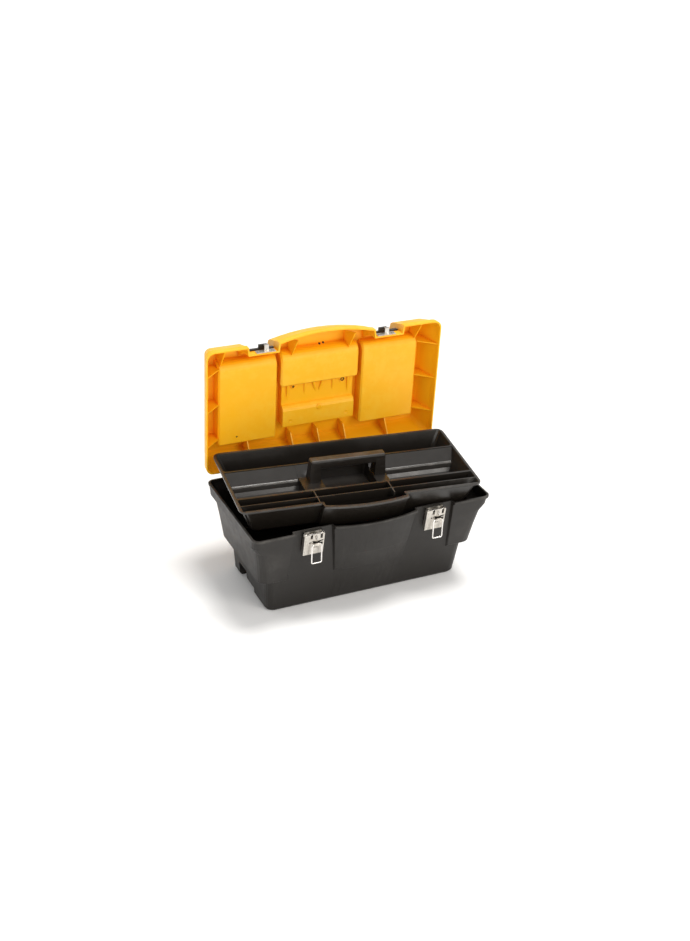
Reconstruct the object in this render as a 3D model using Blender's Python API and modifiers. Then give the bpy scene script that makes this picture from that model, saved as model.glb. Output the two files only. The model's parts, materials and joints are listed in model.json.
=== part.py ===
"""Carpenter's toolbox: a moulded tub and lid, a lift-out tray and two steel draw latches.

Run in Blender 4.5 with: blender --background --python part.py
Metres, +Z up. The origin is on the ground under the middle of the box: X runs along the box,
-Y is the front with the latches. The lid stands open and the tray is raised, parked askew.
"""
import math

import bmesh
import bpy
import numpy as np
from mathutils import Euler, Matrix, Vector

MM = 0.001

# ---- Driving dimensions, in millimetres -------------------------------------------------
RIM_Z = 184.5            # height of the tub's rim above the ground
RIM_X = 244.0            # half length over the rim
RIM_Y = 127.0            # half depth over the rim
WALL = 2.6               # wall of tub and lid
FLOOR = 3.0              # floor of the tub
BELLY_X = 86.0           # half width of the front belly at the rim
PAD_X = 163.0            # outer edge of the recessed latch pads at the rim
BELLY_SAG = 13.0         # how far the belly bulges at its middle
LATCH_X = 125.5          # centre of each latch
HINGE_Y = 131.0          # lid hinge axis
HINGE_Z = 193.0
LID_OPEN = 88.0          # degrees the lid stands open
LID_SEAT = 0.3           # gap between the lid's edge and the rim
LID_FRONT = -130.0       # front edge of the closed lid
LID_BACK = 127.4         # back edge of the closed lid
LID_X = 244.6            # half length of the lid
NOTCH_Y = -114.4         # face of the latch notches in the lid
NOTCH_IN = 101.0
NOTCH_OUT = 160.0
PANEL_W = 30.0           # underside of the organiser wells, above the lid's edge
TRAY_X = 237.0           # half length over the tray's flange
TRAY_BACK = 106.0
TRAY_FRONT = -104.5
TRAY_DEEP = 54.0
TRAY_WALL = 2.4
TRAY_BULGE_X = 82.2
END_LEAN = 0.435         # how far the tray's end walls lean in, for each millimetre down
BACK_LEAN = 0.29
FRONT_LEAN = 0.30
GAP = 0.3                # gap between pieces that touch

# Rest pose of the tray: middle of its rim, then yaw, roll and pitch in degrees.
TRAY_POS = (-8.3, -6.8, 231.7)
TRAY_YPR = (-5.5, 0.7, 4.5)

# ---- Scene and materials ------------------------------------------------------------------
for old in list(bpy.data.objects):
    bpy.data.objects.remove(old, do_unlink=True)

PART = bpy.data.collections.new("carpenter_toolbox")
CUTS = bpy.data.collections.new("cutters")
bpy.context.scene.collection.children.link(PART)
bpy.context.scene.collection.children.link(CUTS)


def make_material(name, color, roughness, metallic):
    mat = bpy.data.materials.new(name)
    mat.use_nodes = True
    bsdf = mat.node_tree.nodes["Principled BSDF"]
    bsdf.inputs["Base Color"].default_value = (*color, 1.0)
    bsdf.inputs["Roughness"].default_value = roughness
    bsdf.inputs["Metallic"].default_value = metallic
    return mat


BLACK = make_material("black_polypropylene", (0.045, 0.040, 0.036), 0.48, 0.0)
YELLOW = make_material("yellow_polypropylene", (0.94, 0.50, 0.02), 0.42, 0.0)
STEEL = make_material("zinc_plated_steel", (0.72, 0.70, 0.66), 0.30, 1.0)


# ---- Helpers --------------------------------------------------------------------------------
def new_object(name, bm, material, collection=PART, smooth=None):
    """Turn a bmesh in millimetres into an object in metres."""
    bmesh.ops.scale(bm, vec=(MM, MM, MM), verts=bm.verts)
    bmesh.ops.recalc_face_normals(bm, faces=bm.faces)
    mesh = bpy.data.meshes.new(name)
    bm.to_mesh(mesh)
    bm.free()
    obj = bpy.data.objects.new(name, mesh)
    collection.objects.link(obj)
    if material is not None:
        mesh.materials.append(material)
    if smooth is not None:
        mesh.shade_smooth()
        mesh.set_sharp_from_angle(angle=math.radians(smooth))
    return obj


def hide_cutter(obj):
    obj.hide_render = True
    obj.display_type = "WIRE"
    return obj


def loft(rings, cap_start=True, cap_end=True):
    """Skin a list of rings that all have the same number of points."""
    bm = bmesh.new()
    loops = [[bm.verts.new(p) for p in ring] for ring in rings]
    count = len(loops[0])
    for low, high in zip(loops, loops[1:]):
        for i in range(count):
            j = (i + 1) % count
            bm.faces.new((low[i], low[j], high[j], high[i]))
    if cap_start:
        bm.faces.new(list(reversed(loops[0])))
    if cap_end:
        bm.faces.new(loops[-1])
    return bm


def add_box(bm, low, high, matrix=None):
    """Add one box between two corners, in millimetres."""
    made = bmesh.ops.create_cube(bm, size=1.0)["verts"]
    low = Vector(low)
    high = Vector(high)
    bmesh.ops.scale(bm, vec=high - low, verts=made)
    bmesh.ops.translate(bm, vec=(low + high) / 2, verts=made)
    if matrix is not None:
        bmesh.ops.transform(bm, matrix=matrix, verts=made)
    return made


def box_object(name, low, high, material=None, collection=CUTS, bevel=0.0, segments=2, matrix=None):
    bm = bmesh.new()
    add_box(bm, low, high, matrix)
    if bevel > 0.0:
        bmesh.ops.bevel(bm, geom=bm.edges[:], offset=bevel, segments=segments, affect="EDGES", profile=0.5)
    return new_object(name, bm, material, collection)


def prism(name, outline, axis, start, end, material=None, collection=CUTS):
    """Extrude a 2D outline along X, Y or Z. The outline's axes are the other two, in order."""
    def place(a, b, c):
        if axis == "X":
            return (c, a, b)
        if axis == "Y":
            return (a, c, b)
        return (a, b, c)
    rings = [[place(a, b, start) for a, b in outline], [place(a, b, end) for a, b in outline]]
    return new_object(name, loft(rings), material, collection)


def cylinder_bm(radius, start, end, segments=20):
    """A capped cylinder between two points, in millimetres."""
    bm = bmesh.new()
    a = Vector(start)
    b = Vector(end)
    length = (b - a).length
    made = bmesh.ops.create_cone(bm, cap_ends=True, segments=segments, radius1=radius, radius2=radius,
                                 depth=length)["verts"]
    turn = Vector((0, 0, 1)).rotation_difference(b - a).to_matrix().to_4x4()
    bmesh.ops.transform(bm, matrix=Matrix.Translation((a + b) / 2) @ turn, verts=made)
    return bm


def cylinder(name, radius, start, end, material=None, collection=CUTS, segments=20):
    smooth = 40 if collection is PART else None
    return new_object(name, cylinder_bm(radius, start, end, segments), material, collection, smooth)


def boolean(target, tool, operation):
    mod = target.modifiers.new(tool.name, "BOOLEAN")
    mod.operation = operation
    mod.solver = "EXACT"
    mod.object = tool
    hide_cutter(tool)


def cut(target, *tools):
    for tool in tools:
        boolean(target, tool, "DIFFERENCE")


def join(target, *tools):
    for tool in tools:
        boolean(target, tool, "UNION")


def arc_points(cx, cy, radius, start, end, steps):
    """Points of an arc in degrees, both ends included."""
    out = []
    for k in range(steps + 1):
        a = math.radians(start + (end - start) * k / steps)
        out.append((cx + radius * math.cos(a), cy + radius * math.sin(a)))
    return out


def empty(name, location, rotation=(0.0, 0.0, 0.0)):
    node = bpy.data.objects.new(name, None)
    node.location = Vector(location) * MM
    node.rotation_euler = Euler(rotation, "XYZ")
    PART.objects.link(node)
    return node


def attach(obj, parent):
    """Parent an object whose mesh is already in the parent's own frame."""
    obj.parent = parent
    return obj


def plan_ring(half_x, front, back, radius, z, pad, pad_in, pad_out, belly_edge, sag, belly_steps=10):
    """One horizontal outline, counter-clockwise from the front left corner.

    front is the y of the end panels, pad the y of the latch recesses between pad_in and pad_out,
    belly_edge the y where the belly starts, and sag how far it bulges at x = 0.
    """
    side = 1.2
    corner = 5
    pts = arc_points(-half_x + radius, front + radius, radius, 180, 270, corner)
    run = [(-pad_out - side, front), (-pad_out + side, pad), (-pad_in - side, pad)]
    belly = []
    for k in range(belly_steps + 1):
        x = (pad_in - side) * (-1 + 2 * k / belly_steps)
        bulge = sag * (1 - (x / (pad_in - side)) ** 2)
        belly.append((x, belly_edge - bulge))
    pts += run
    pts += belly
    pts += [(-x, y) for x, y in reversed(run)]
    pts += arc_points(half_x - radius, front + radius, radius, 270, 360, corner)
    pts += arc_points(half_x - radius, back - radius, radius, 0, 90, corner)
    pts += arc_points(-half_x + radius, back - radius, radius, 90, 180, corner)
    return [(x, y, z) for x, y in pts]


# ---- Tub ------------------------------------------------------------------------------------
# z, half length, front, back, corner radius of the tub's outside, from the ground up.
TUB_SECTIONS = (
    (0.0, 196.5, -82.0, 94.0, 13.0),
    (5.0, 200.5, -86.0, 97.5, 16.0),
    (73.0, 205.5, -98.5, 104.0, 17.0),
    (76.0, 222.5, -102.5, 107.0, 20.0),
    (115.0, 227.5, -110.0, 112.5, 19.0),
    (147.0, 232.5, -116.0, 117.0, 17.0),
    (163.0, 242.3, -119.0, 119.6, 15.0),
    (179.0, 243.4, -122.0, 122.0, 14.0),
    (179.6, 243.7, -RIM_Y, RIM_Y, 14.0),
    (RIM_Z - 0.8, RIM_X, -RIM_Y, RIM_Y, 14.0),
    (RIM_Z, RIM_X - 0.8, -RIM_Y + 0.8, RIM_Y - 0.8, 13.4),
)


def tub_at(z):
    """Half length, front, back and radius of the tub's outside at one height."""
    zs = [s[0] for s in TUB_SECTIONS]
    return [float(np.interp(z, zs, [s[k] for s in TUB_SECTIONS])) for k in range(1, 5)]


def tub_ring(z, half_x, front, back, radius, inset=0.0, pad_inset=None):
    """The tub's outline at a height; inset moves it inwards, for the inside face."""
    if pad_inset is None:
        pad_inset = inset
    rise = max(0.0, min(1.0, (z - 73.0) / (RIM_Z - 73.0)))
    pad = -98.5 - 18.0 * rise
    if z <= 73.5:
        pad = front
    pad_in = 72.0 + (BELLY_X - 72.0) * rise
    pad_out = 168.0 + (PAD_X - 168.0) * rise
    sag = BELLY_SAG * max(0.0, min(1.0, (z - 30.0) / 80.0))
    belly_edge = front
    return plan_ring(half_x - inset, front + inset, back - inset, max(radius - inset, 4.0), z,
                     max(pad, front) + pad_inset, pad_in - pad_inset, pad_out + pad_inset,
                     belly_edge + inset, sag)


def make_tub():
    outer = [tub_ring(*s) for s in TUB_SECTIONS]
    lip = 4.1
    inner = [tub_ring(RIM_Z, RIM_X - lip, -RIM_Y + lip, RIM_Y - lip, 10.5, 0.0, WALL)]
    for z in (179.0, 163.0, 147.0, 115.0, 79.0, 75.4, FLOOR + 5.0):
        half_x, front, back, radius = tub_at(z)
        if z > 178.0:
            half_x, front, back = RIM_X - lip, -RIM_Y + lip + 0.3, RIM_Y - lip - 0.3
            inner.append(tub_ring(z, half_x, front, back, 10.5, 0.0, WALL))
            continue
        if z in (79.0, 75.4):
            half_x, front, back, radius = tub_at(z - 2.4)
        inner.append(tub_ring(z, half_x, front, back, radius, inset=WALL))
    half_x, front, back, radius = tub_at(5.0)
    inner.append(tub_ring(FLOOR, half_x - 5.0, front + 5.0, back - 5.0, radius - 4.0, inset=WALL))
    tub = new_object("base_tub", loft(outer + inner), BLACK, PART, smooth=35)
    for side in (-1, 1):
        tag = "left" if side < 0 else "right"
        spans = [sorted((side * 179.0, side * 198.0)), sorted((side * 182.0, side * 212.0)),
                 sorted((side * 185.0, side * 200.0)), sorted((side * 188.0, side * 212.0))]
        join(tub, box_object("hold_case_low_" + tag, (spans[0][0], -21, 2.0), (spans[0][1], 61, 18)))
        join(tub, box_object("hold_case_high_" + tag, (spans[2][0], 17, 15), (spans[2][1], 61, 34)))
        cut(tub, box_object("hold_low_" + tag, (spans[1][0], -18, -2), (spans[1][1], 58, 15)))
        cut(tub, box_object("hold_high_" + tag, (spans[3][0], 20, 10), (spans[3][1], 58, 31)))
    return tub


# ---- Lid ------------------------------------------------------------------------------------
# Height above the lid's edge, inset from the edge outline.
LID_SECTIONS = ((0.0, 0.0), (13.0, 0.8), (14.0, 2.6), (26.0, 6.233), (50.0, 13.5), (57.0, 18.0), (60.0, 24.0))
NOTCH_FACE = 26.0        # depth of the upright part of each latch notch
NOTCH_SLOPE = 0.53       # lean of the notch beyond it


def lid_ring(w, inset, thick=0.0):
    """Outline of the closed lid at a height above its edge, in the box's own frame."""
    move = inset + thick
    notch = NOTCH_Y + 0.35 * inset + thick + NOTCH_SLOPE * max(w - NOTCH_FACE, 0.0)
    front = min(LID_FRONT + move, notch - 0.2) if w < 59.0 else min(LID_FRONT + move, notch)
    return plan_ring(LID_X - move, front, LID_BACK - move, max(15.0 - 0.3 * move, 5.0),
                     RIM_Z + LID_SEAT + w, max(notch, front), NOTCH_IN - thick, NOTCH_OUT + thick,
                     front - 0.8, BELLY_SAG)


def lid_inset(w):
    return float(np.interp(w, [s[0] for s in LID_SECTIONS], [s[1] for s in LID_SECTIONS]))


def notch_v(w):
    """How far from the lid's back edge the face of the latch notch lies at a height above its edge."""
    return 127.4 - (NOTCH_Y + 0.35 * lid_inset(w) + NOTCH_SLOPE * max(w - NOTCH_FACE, 0.0))


def to_hinge(obj):
    """Move a mesh drawn in the closed lid's place into the hinge's own frame."""
    obj.data.transform(Matrix.Translation(Vector((0.0, -HINGE_Y, -HINGE_Z)) * MM))
    return obj


def lid_box(name, u0, u1, v0, v1, w0, w1, bevel=0.0, segments=2):
    """A box in the lid: u along X, v back edge to front edge, w up from the lid's edge."""
    base = RIM_Z + LID_SEAT
    return box_object(name, (u0, LID_BACK - v1, base + w0), (u1, LID_BACK - v0, base + w1), None, CUTS,
                      bevel, segments)


def rounded_block(name, u0, u1, v0, v1, w0, w1, radius, chamfer):
    """A block in the lid with rounded corners and a chamfered underside."""
    base = RIM_Z + LID_SEAT
    rings = []
    for w, inset in ((w0, chamfer), (w0 + chamfer, 0.0), (w1, 0.0)):
        a0, a1 = u0 + inset, u1 - inset
        b0, b1 = LID_BACK - v1 + inset, LID_BACK - v0 - inset
        r = max(radius - inset, 0.8)
        pts = arc_points(a0 + r, b0 + r, r, 180, 270, 3)
        pts += arc_points(a1 - r, b0 + r, r, 270, 360, 3)
        pts += arc_points(a1 - r, b1 - r, r, 0, 90, 3)
        pts += arc_points(a0 + r, b1 - r, r, 90, 180, 3)
        rings.append([(x, y, base + w) for x, y in pts])
    return new_object(name, loft(rings), None, CUTS)


def rolled_block(name, u0, u1, v0, v1, w0, w1, roll, chamfer):
    """A block in the lid whose edge towards the lid's front is rolled over with a large radius."""
    base = RIM_Z + LID_SEAT
    rings = []
    for u, inset in ((u0, chamfer), (u0 + chamfer, 0.0), (u1 - chamfer, 0.0), (u1, chamfer)):
        low, back, front = w0 + inset, v0 + inset, v1 - inset
        outline = [(back, w1), (back, low + 2.0), (back + 2.0, low)]
        for k in range(7):
            a = math.radians(15.0 * k)
            outline.append((front - roll + roll * math.sin(a), low + roll - roll * math.cos(a)))
        outline.append((front, w1))
        rings.append([(u, LID_BACK - v, base + w) for v, w in outline])
    return new_object(name, loft(rings), None, CUTS)


def lid_prism(name, outline, u0, u1):
    """Extrude a (v, w) outline along X inside the lid."""
    base = RIM_Z + LID_SEAT
    return prism(name, [(LID_BACK - v, base + w) for v, w in outline], "X", u0, u1)


def make_lid():
    inner = [lid_ring(w, lid_inset(w), WALL) for w in (57.4, 50.0, 26.0, 14.0, 0.0)]
    inner[0] = lid_ring(57.4, lid_inset(56.0), WALL)
    outer = [lid_ring(w, inset) for w, inset in LID_SECTIONS]
    lid = new_object("lid_shell", loft(inner + outer), YELLOW, PART, smooth=35)
    cases = []
    pockets = []
    for side in (-1, 1):
        tag = "left" if side < 0 else "right"
        u = sorted((side * 90.0, side * 210.0))
        cases.append(rolled_block("well_case_" + tag, u[0], u[1], 42, 215, PANEL_W, 58.6, 17.0, 3.0))
        pockets.append(rolled_block("well_" + tag, u[0] + 2.4, u[1] - 2.4, 44.4, 212.2, PANEL_W + 2.4, 66.0,
                                    15.6, 2.0))
        for k, v in enumerate((205.0, 131.0, 57.0)):
            rib_u = sorted((side * 208.0, side * 243.0))
            inner_u = side * 209.0
            outer_u = side * 242.4
            outline = [(inner_u, 58.2), (inner_u, PANEL_W + 1.0), (outer_u, 3.0), (outer_u, 14.0),
                       (outer_u - side * 12.0, 52.0), (outer_u - side * 14.0, 58.2)]
            base = RIM_Z + LID_SEAT
            ring = [(u_, base + w_) for u_, w_ in outline]
            y = LID_BACK - v
            cases.append(prism("lid_rib_%s_%d" % (tag, k), ring, "Y", y - 1.0, y + 1.0))
    cases.append(rolled_block("grip_case_front", -82, 82, 149, 219, PANEL_W, 58.8, 18.0, 3.0))
    slope = [(61.0, PANEL_W), (94.0, 30.5), (99.0, 32.5), (102.5, 36.5), (104.5, 41.0), (153.0, 41.0),
             (153.0, 58.4), (61.0, 58.4)]
    cases.append(lid_prism("grip_case_back", slope, -76, 76))
    inner_slope = [(63.4, 32.4), (93.0, 32.9), (97.0, 34.8), (100.0, 38.2), (102.3, 43.4), (156.0, 43.4),
                   (156.0, 66.0), (63.4, 66.0)]
    pockets.append(lid_prism("grip_pocket_back", inner_slope, -73.6, 73.6))
    pockets.append(rolled_block("grip_pocket_front", -79.6, 79.6, 151.4, 216.0, PANEL_W + 2.4, 66.0, 16.6, 2.0))
    for k, u in enumerate((-149.0, -57.0, 0.0, 57.0, 149.0)):
        rib = [(1.6, 5.0), (44.0, PANEL_W + 3.4), (44.0, 58.1), (17.0, 58.1), (14.0, 50.0), (2.6, 13.0)]
        cases.append(lid_prism("lid_rib_back_%d" % k, rib, u - 1.0, u + 1.0))
    for k, u in enumerate((-205.0, -60.0, 60.0, 205.0)):
        rib = [(254.0, 6.0), (253.0, 14.0), (242.0, 50.0), (238.0, 58.0), (211.0, 58.0), (211.0, PANEL_W + 3.8)]
        cases.append(lid_prism("lid_rib_front_%d" % k, rib, u - 1.0, u + 1.0))
    for x in HINGE_XS:
        cases.append(hinge_lug("lid_lug_%d" % round(x), x))
    pins = [cylinder("hinge_hole_%d" % round(x), 2.0, (x - 20, HINGE_Y, HINGE_Z), (x + 20, HINGE_Y, HINGE_Z))
            for x in HINGE_XS]
    join(lid, *cases)
    cut(lid, *pockets)
    cut(lid, *pins)
    return lid


# ---- Hinge ------------------------------------------------------------------------------------
HINGE_XS = (-165.0, 0.0, 165.0)
LUG_HALF = 13.0          # half width of each lid lug
EAR = 8.0                # width of each ear on the tub
EAR_GAP = 0.5


def hinge_lug(name, x):
    """Lug on the lid's back wall that turns on the pin; its heel is the open stop."""
    ring = arc_points(HINGE_Y, HINGE_Z, 4.6, -60, 90, 6)
    outline = [(123.0, 188.4), (127.6, 188.4)] + [(HINGE_Y + 6.8, HINGE_Z - 3.2)]
    outline += [(HINGE_Y + 9.5, HINGE_Z - 3.2), (HINGE_Y + 9.5, HINGE_Z + 3.0)]
    outline += ring[-2:] + [(122.0, HINGE_Z + 5.4)]
    return prism(name, outline, "X", x - LUG_HALF, x + LUG_HALF)


def make_ears(tub):
    """Two ears on the tub's back rim at each lug."""
    for x in HINGE_XS:
        for side in (-1, 1):
            inner = x + side * (LUG_HALF + EAR_GAP)
            outer = x + side * (LUG_HALF + EAR_GAP + EAR)
            ring = arc_points(HINGE_Y, HINGE_Z, 3.0, -20, 190, 9)
            outline = [(HINGE_Y - 6.5, 179.6), (HINGE_Y + 2.8, 179.6)] + ring
            outline += [(HINGE_Y - 3.0, RIM_Z - 0.4), (HINGE_Y - 6.5, RIM_Z - 0.4)]
            low, high = sorted((inner, outer))
            join(tub, prism("ear_%d_%d" % (round(x), side), outline, "X", low, high))
        cut(tub, cylinder("ear_hole_%d" % round(x), 2.0, (x - 26, HINGE_Y, HINGE_Z), (x + 26, HINGE_Y, HINGE_Z)))


# ---- Tray -------------------------------------------------------------------------------------
# Height under the tray's rim, half length, front, back, corner radius, belly front, belly sag.
TRAY_SECTIONS = (
    (-TRAY_DEEP, 209.0, -85.0, 86.0, 9.0, 9.0, 8.0),
    (-TRAY_DEEP + 3.0, 212.0, -87.0, 88.0, 12.0, 9.5, 8.5),
    (-3.6, 232.6, -100.6, 101.8, 14.0, 12.0, 10.0),
    (-3.5, TRAY_X, TRAY_FRONT, TRAY_BACK, 14.0, 13.0, 10.0),
    (-0.6, TRAY_X, TRAY_FRONT, TRAY_BACK, 14.0, 13.0, 10.0),
    (0.0, TRAY_X - 0.6, TRAY_FRONT + 0.6, TRAY_BACK - 0.6, 13.5, 13.0, 10.0),
)


def tray_ring(z, half_x, front, back, radius, step, sag):
    """The tray's outline: straight front with a stepped, bowed middle."""
    pts = arc_points(-half_x + radius, front + radius, radius, 180, 270, 4)
    half = TRAY_BULGE_X
    for k in range(9):
        x = half * (-1 + k / 4)
        pts.append((x, front - step - sag * (1 - (x / half) ** 2)))
    pts.insert(5, (-half - 1.0, front))
    pts.append((half + 1.0, front))
    pts += arc_points(half_x - radius, front + radius, radius, 270, 360, 4)
    pts += arc_points(half_x - radius, back - radius, radius, 0, 90, 4)
    pts += arc_points(-half_x + radius, back - radius, radius, 90, 180, 4)
    return [(x, y, z) for x, y in pts]


def pocket(name, x0, x1, y0, y1, floor, grow, radius, x_lean, y_lean):
    """A tapered pocket with rounded corners, narrower at its floor; grow gives its casing.

    x_lean and y_lean say how far the two walls lean in for each millimetre of depth.
    """
    depth = -floor
    tx = [lean * depth for lean in x_lean]
    ty = [lean * depth for lean in y_lean]
    rings = []
    radius = radius + grow
    for z, k in ((floor - grow, 1.0), (0.0, 0.0), (3.0, -3.0 / depth)):
        a0 = x0 + tx[0] * k - grow
        a1 = x1 - tx[1] * k + grow
        b0 = y0 + ty[0] * k - grow
        b1 = y1 - ty[1] * k + grow
        pts = arc_points(a0 + radius, b0 + radius, radius, 180, 270, 2)
        pts += arc_points(a1 - radius, b0 + radius, radius, 270, 360, 2)
        pts += arc_points(a1 - radius, b1 - radius, radius, 0, 90, 2)
        pts += arc_points(a0 + radius, b1 - radius, radius, 90, 180, 2)
        rings.append([(x, y, z) for x, y in pts])
    return new_object(name, loft(rings), None, CUTS)


def trough(name, x0, x1, lean0, lean1, grow=0.0):
    """The half-round trough with the sloping panel behind it; grow gives its casing."""
    outline = [(-55.4 - grow, 3.0), (-55.6 - grow, -8.0)]
    outline += arc_points(-23.0, -13.0, 33.0 + grow, 182, 344, 12)
    outline += [(11.5 + 0.6 * grow, -19.4 - 0.9 * grow), (34.0, -1.5 - grow), (34.6 + grow, 3.0)]
    rings = []
    for x, lean in ((x0 - grow, lean0), (x1 + grow, lean1)):
        rings.append([(x - lean * z, y, z) for y, z in outline])
    return new_object(name, loft(rings), None, CUTS)


def bow_well(name, grow=0.0):
    """The shallow pocket in the bowed middle of the tray's front."""
    rings = []
    for z, lean in ((-34.0 - grow, FRONT_LEAN * 34.0), (0.0, 0.0), (3.0, FRONT_LEAN * -3.0)):
        half = TRAY_BULGE_X - 3.4 + grow - lean * 0.2
        ring = []
        for k in range(9):
            x = half * (-1 + k / 4)
            ring.append((x, TRAY_FRONT - 6.6 - grow + lean - 9.6 * (1 - (x / half) ** 2), z))
        ring += [(half, -96.0 + grow, z), (-half, -96.0 + grow, z)]
        rings.append(ring)
    return new_object(name, loft(rings), None, CUTS)


def tray_pockets(prefix, grow):
    """Every compartment of the tray, or its casing when grow is above zero."""
    end = 231.6
    well = TRAY_WALL - TRAY_DEEP
    slight = 0.015
    tools = [pocket(prefix + "well_back", -end, end, 37.6, 100.3, well, grow, 6.0, (END_LEAN, END_LEAN),
                    (slight, BACK_LEAN))]
    tools.append(trough(prefix + "trough_left", -end, -92.0, END_LEAN, 0.0, grow))
    tools.append(trough(prefix + "trough_right", 78.0, end, 0.0, -END_LEAN, grow))
    saddle = [(-55.0 - grow, 3.2), (-55.2 - grow, -17.0 - grow), (13.0, -17.0 - grow), (34.0, -1.2 - grow),
              (34.8 + grow, 3.2)]
    tools.append(prism(prefix + "saddle", saddle, "X", -96.0 - grow, 84.0 + grow))
    tools.append(pocket(prefix + "finger_well", -53.0, 53.0, -56.0, 34.0, -38.0, grow, 5.0, (0.1, 0.1),
                        (0.04, 0.04)))
    rows = (("left", -end, -87.0, (END_LEAN, slight)), ("middle", -84.8, 60.0, (slight, slight)),
            ("right", 62.2, end, (slight, END_LEAN)))
    for tag, x0, x1, lean in rows:
        tools.append(pocket(prefix + "row_" + tag, x0, x1, -80.4, -60.2, -42.0, grow, 2.0, lean,
                            (0.04, slight)))
        tools.append(pocket(prefix + "front_" + tag, x0, x1, -98.9, -82.4, -36.0, grow, 2.0, lean,
                            (FRONT_LEAN, slight)))
    tools.append(bow_well(prefix + "bow_well", grow))
    return tools


def make_tray():
    tray = new_object("tray", loft([tray_ring(*s) for s in TRAY_SECTIONS]), BLACK, PART, smooth=35)
    under = []
    for z, half_x, front, back, radius, step, sag in TRAY_SECTIONS[:3]:
        under.append(tray_ring(z, half_x - TRAY_WALL, front + TRAY_WALL, back - TRAY_WALL,
                               max(radius - TRAY_WALL, 5.0), step, sag))
    under[0] = [(x, y, z - 4.0) for x, y, z in under[0]]
    hollow = new_object("tray_underside", loft(under), None, CUTS)
    cut(hollow, *tray_pockets("case_", TRAY_WALL))
    cut(tray, hollow)
    cut(tray, *tray_pockets("inner_", 0.0))
    for side in (-1, 1):
        tag = "left" if side < 0 else "right"
        foot = [(-12.6, -13.5, -37.0), (12.4, -13.5, -37.0), (12.4, 17.5, -37.0), (-12.6, 17.5, -37.0)]
        mid = [(-10.0, -7.5, 2.0), (10.0, -7.5, 2.0), (10.0, 13.6, 2.0), (-10.0, 13.6, 2.0)]
        top = [(-9.0, -5.5, 26.0), (9.0, -5.5, 26.0), (9.0, 11.6, 26.0), (-9.0, 11.6, 26.0)]
        rings = [[(side * (65.0 + x), y, z) for x, y, z in ring] for ring in (foot, mid, top)]
        join(tray, new_object("grip_post_" + tag, loft(rings), None, CUTS))
    join(tray, box_object("grip_bar", (-75.0, -6.2, 9.0), (75.0, 12.3, 27.0), bevel=3.4, segments=3))
    cut(tray, box_object("grip_hollow", (-59.0, 0.8, 4.0), (59.0, 9.3, 20.0)))
    return tray


# ---- Latches ----------------------------------------------------------------------------------
PAD_TILT = 9.2           # lean of the latch pad from upright
PAD_Y = -112.2           # pad face at the latch's middle height
PAD_Z = 158.0
PIVOT_OUT = 7.5          # lever pivot, out from the pad
PIVOT_UP = 19.0
LOOP_OUT = 15.5          # bail loop, out from the pad
WIRE = 1.4
BAIL_LONG = 38.6
BAIL_HALF = 9.8
BAIL_OFFSET = 4.2
HOOK_OFFSET = 2.0


def pad_matrix(x):
    """Frame on the latch pad: X along the box, Z up the pad, -Y outward."""
    return Matrix.Translation((x, PAD_Y, PAD_Z)) @ Matrix.Rotation(math.radians(PAD_TILT), 4, "X")


def pad_point(x, out, up):
    p = pad_matrix(x) @ Vector((0.0, -out, up))
    return (p.x, p.y, p.z)


def to_frame(obj, matrix, origin=(0.0, 0.0, 0.0)):
    """Place a mesh drawn on the latch pad into a frame at the given world origin."""
    move = matrix.copy()
    move.translation = (matrix.translation - Vector(origin)) * MM
    obj.data.transform(move)
    return obj


def mesh_from_curve(obj, name, material, collection):
    """Replace a curve object with a closed mesh."""
    graph = bpy.context.evaluated_depsgraph_get()
    mesh = bpy.data.meshes.new_from_object(obj.evaluated_get(graph))
    bm = bmesh.new()
    bm.from_mesh(mesh)
    bmesh.ops.remove_doubles(bm, verts=bm.verts, dist=0.000001)
    bmesh.ops.recalc_face_normals(bm, faces=bm.faces)
    bm.to_mesh(mesh)
    bm.free()
    made = bpy.data.objects.new(name, mesh)
    made.matrix_world = obj.matrix_world
    bpy.data.objects.remove(obj, do_unlink=True)
    collection.objects.link(made)
    mesh.materials.clear()
    mesh.materials.append(material)
    mesh.shade_smooth()
    mesh.set_sharp_from_angle(angle=math.radians(50))
    return made


def wire(name, points, radius, material, collection=PART):
    """A round wire through points in millimetres."""
    data = bpy.data.curves.new(name, "CURVE")
    data.dimensions = "3D"
    data.bevel_depth = radius * MM
    data.bevel_resolution = 2
    data.use_fill_caps = True
    spline = data.splines.new("POLY")
    spline.points.add(len(points) - 1)
    for point, xyz in zip(spline.points, points):
        point.co = (xyz[0] * MM, xyz[1] * MM, xyz[2] * MM, 1.0)
    obj = bpy.data.objects.new(name + "_curve", data)
    collection.objects.link(obj)
    bpy.context.view_layer.update()
    return mesh_from_curve(obj, name, material, collection)


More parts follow.
